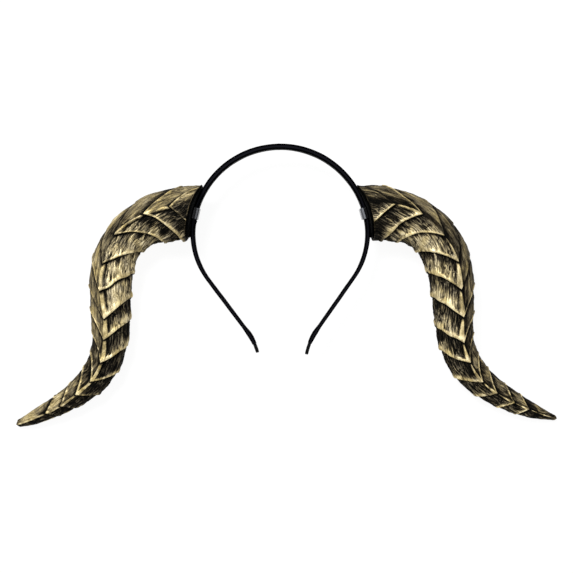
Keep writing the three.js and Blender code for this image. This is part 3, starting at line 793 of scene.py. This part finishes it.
def buildPlate(seat, material):
    deselect()
    bpy.ops.mesh.primitive_cylinder_add(vertices=plate["corners"], radius=1, depth=1)
    piece = bpy.context.object
    editing()
    bpy.ops.mesh.select_mode(type="FACE")
    bpy.ops.mesh.select_all(action="DESELECT")
    bpy.ops.mesh.select_face_by_sides(number=plate["corners"], type="EQUAL")
    for _ in range(plate["rings"] - 1):
        bpy.ops.mesh.inset(thickness=1 / plate["rings"])
    bpy.ops.mesh.select_mode(type="VERT")
    bpy.ops.mesh.select_all(action="SELECT")
    halfWidth = horn["sections"][0][2] / 2 - plate["endInset"]
    halfDepth = horn["sections"][0][3] / 2 - plate["inset"]
    size = (halfWidth * mm, halfDepth * mm, plate["thick"] * mm)
    bpy.ops.transform.resize(value=size, center_override=(0, 0, 0))
    bpy.ops.object.mode_set(mode="OBJECT")
    roundEdges(piece, plate["round"], 3, 50)
    channel, slope = plate["channelHalf"], plate["channelSlope"]
    for place in (-channel - slope, -channel, channel, channel + slope):
        cutAcross(place, (0, 1, 0))
    y, z, depth = pointsMm(piece).T
    outer = baseTilt(z, seat) - saddle(y, seat) - plate["gap"]
    inner = outer - mix(plate["channelThick"], plate["thick"], ramp(channel, channel + slope, np.abs(z)))
    clear = np.interp(y, *bandFace(seat)) + plate["bandGap"]
    inChannel = np.abs(z) < channel + plate["channelSlack"]
    inner = np.where(inChannel, np.maximum(inner, clear), inner)
    outer = np.maximum(outer, inner + plate["thinnest"])
    x = mix(inner, outer, depth / plate["thick"] + 0.5)
    setPoints(piece, inFrame(np.stack([x, y, z], axis=-1), seat))
    normalsOut()
    bpy.ops.object.shade_smooth_by_angle(angle=math.radians(40))
    finishPiece(piece, "plate_" + seat["side"], material)
    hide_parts("base_plate_" + seat["side"])
    print("plate", seat["side"], len(piece.data.polygons), "faces")


# Clips: a strap bent over the band with two feet on the plate, extruded from its outline, edges rounded
clip = {
    "length": 8, "wallIn": -5.5, "legIn": 4.3, "leg": 1.1, "footEnd": 8.2, "footFace": -2.2, "foot": 0.8,
    "round": 0.25,
    # how dark the plastic is painted, by place from the horn's base inwards, in mm: low values are painted
    # highlights and the floor painted as if seen through
    "right": {"wall": 1.1, "smoke": [
        (-6.6, 0.05), (-6.2, 0.1), (-5.9, 0.45), (-5.4, 0.4), (-5.0, 0.05), (-4.4, 0.0), (-4.0, 0.3),
        (-3.6, 1.0), (-2.2, 1.0)]},
    "left": {"wall": 0.3, "smoke": [
        (-5.7, 0.55), (-5.2, 0.5), (-4.8, 0.1), (-4.1, 0.05), (-3.7, 0.7), (-3.3, 0.9), (-2.9, 0.6),
        (-2.5, 0.6), (-2.2, 1.0)]},
}


def buildClip(seat, material):
    own = clip[seat["side"]]
    wallOut, legOut = clip["wallIn"] - own["wall"], clip["legIn"] + clip["leg"]
    footTop = clip["footFace"] - clip["foot"]
    foot = [(footTop, legOut), (footTop, clip["footEnd"]), (clip["footFace"], clip["footEnd"]),
            (clip["footFace"], clip["legIn"])]
    halves = []
    for sign in (1, -1):
        tilted = [(x + baseTilt(sign * z, seat), sign * z) for x, z in foot]
        halves.append([(wallOut, sign * legOut), *tilted, (clip["wallIn"], sign * clip["legIn"])])
    x, z = np.array(halves[0] + halves[1][::-1]).T
    piece = addOutline(np.stack([x, 0 * x - clip["length"] / 2, z], axis=-1))
    bpy.ops.mesh.edge_face_add()
    bpy.ops.mesh.vert_connect_concave()  # so that later cuts stay inside the outline
    bpy.ops.mesh.extrude_region_move(TRANSFORM_OT_translate={"value": (0, clip["length"] * mm, 0)})
    normalsOut()
    roundEdges(piece, clip["round"], 4, 30)
    for place, _ in own["smoke"][1:-1]:
        cutAcross(place, (1, 0, 0))
    points = pointsMm(piece)
    setPoints(piece, inFrame(points, seat))
    setAttribute(piece, "smoke", "FLOAT", np.interp(points[:, 0], *zip(*own["smoke"])))
    normalsOut()
    bpy.ops.object.shade_smooth_by_angle(angle=math.radians(40))
    finishPiece(piece, "strap_" + seat["side"], material)
    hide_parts("clip_" + seat["side"])
    print("clip", seat["side"], len(piece.data.polygons), "faces")


plateBlack = mouldedPlastic("dull black base plate", ("#010101", "#040404"), 0.7, 0.012, 0.5, 0.06)
clipGrey = smokyPlastic()
for seat in seats:
    buildPlate(seat, plateBlack)
    buildClip(seat, clipGrey)

# Bare tips: a tongue with a round end, extruded from its outline and bent along the band's centreline
tip = {
    "from": 190.65, "to": {"left": 197.2, "right": 199.2}, "halfWidth": 3.0, "thick": 2.4, "round": 0.6,
    "arcPoints": 15, "sidePoints": 5,
}


def buildTip(side, mirror, material):
    half = tip["halfWidth"]
    arc = np.radians(np.linspace(-90, 90, tip["arcPoints"]))
    middle = tip["to"][side] - half
    runs = np.linspace(tip["from"], middle, tip["sidePoints"], endpoint=False)
    at = np.concatenate([runs, middle + half * np.cos(arc), runs[::-1]])
    z = np.concatenate([0 * runs - half, half * np.sin(arc), 0 * runs + half])
    piece = addOutline(np.stack([at, 0 * at - tip["thick"] / 2, z], axis=-1))
    bpy.ops.mesh.edge_face_add()
    bpy.ops.mesh.extrude_region_move(TRANSFORM_OT_translate={"value": (0, tip["thick"] * mm, 0)})
    normalsOut()
    roundEdges(piece, tip["round"], 4, 50)
    at, offset, z = pointsMm(piece).T
    line, lineAt, normals = bandCentreline()
    x, y, normalX, normalY = (np.interp(at, lineAt, column) for column in (*line.T, *normals.T))
    placed = np.stack([(x + normalX * offset) * mirror, y + normalY * offset, z], axis=-1)
    setPoints(piece, placed * mm + np.array(bandMiddle))
    normalsOut()
    bpy.ops.object.shade_smooth_by_angle(angle=math.radians(40))
    finishPiece(piece, "tongue_" + side, material)
    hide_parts("tip_" + side)
    print("tip", side, len(piece.data.polygons), "faces")


core = mouldedPlastic("black moulded core", ("#020203", "#040405"), 0.35, 0.1, 0.4, 0.03)
for seat in seats:
    buildTip(seat["side"], seat["mirror"], core)

# Studio: a white paper floor that glows enough to burn out its shadows, a white sky and two soft lamps
floorSize = 6.0
deselect()
bpy.ops.mesh.primitive_plane_add(size=floorSize, location=(0, 0, 0))
floor = bpy.context.object
floor.name = "floor"
paper, paperShader = newMaterial("white paper")
paperShader.inputs["Base Color"].default_value = linear("#585858")
paperShader.inputs["Roughness"].default_value = 0.9
paperShader.inputs["Emission Color"].default_value = (1, 1, 1, 1)
paperShader.inputs["Emission Strength"].default_value = 0.91
floor.data.materials.append(paper)

world = bpy.data.worlds.new("studio")
bpy.context.scene.world = world
world.use_nodes = True
sky = world.node_tree.nodes["Background"]
sky.inputs["Color"].default_value = (1, 1, 1, 1)
seen = addNode(world, "ShaderNodeLightPath").outputs["Is Camera Ray"]
addNode(world, "ShaderNodeMapRange", {"To Min": 0.48, "To Max": 1.0},  # dimmer as a light than to the eye
        {"Value": seen, "Result": sky.inputs["Strength"]})

lights = [
    {"name": "key", "place": (-0.5, 0.8, 1.3), "size": 0.6, "power": 25},
    {"name": "fill", "place": (0.8, -0.3, 1.4), "size": 1.2, "power": 6},
]
for light in lights:
    bpy.ops.object.light_add(type="AREA", location=light["place"])
    lamp = bpy.context.object
    lamp.name = light["name"]
    lamp.data.size = light["size"]
    lamp.data.energy = light["power"]
    lamp.rotation_euler = (Vector((0, 0, 0)) - lamp.location).to_track_quat("-Z", "Y").to_euler()
print("studio", len(lights), "lamps")

# Camera: straight above the band, as the photo looks, with the band's centre on its own pixel of the frame
view = {
    "height": 900, "sensorMm": 36, "pixelMm": 0.7222, "framePx": 573, "bandPx": (280.3, 234.2), "roll": 1.0,
}
bpy.ops.object.camera_add()
camera = bpy.context.object
offsetX = (view["framePx"] / 2 - view["bandPx"][0]) * view["pixelMm"] * mm
offsetY = -(view["framePx"] / 2 - view["bandPx"][1]) * view["pixelMm"] * mm
roll = math.radians(view["roll"])
camera.location = (
    bandMiddle.x + offsetX * math.cos(roll) + offsetY * math.sin(roll),
    bandMiddle.y - offsetX * math.sin(roll) + offsetY * math.cos(roll),
    bandMiddle.z + view["height"] * mm,
)
camera.rotation_euler = (0, 0, -roll)
camera.data.sensor_width = view["sensorMm"]
camera.data.lens = view["sensorMm"] * view["height"] / (view["framePx"] * view["pixelMm"])
camera.data.clip_end = 20
bpy.context.scene.camera = camera
bpy.context.scene.view_settings.view_transform = "Standard"
print("camera", round(camera.data.lens), "mm lens")
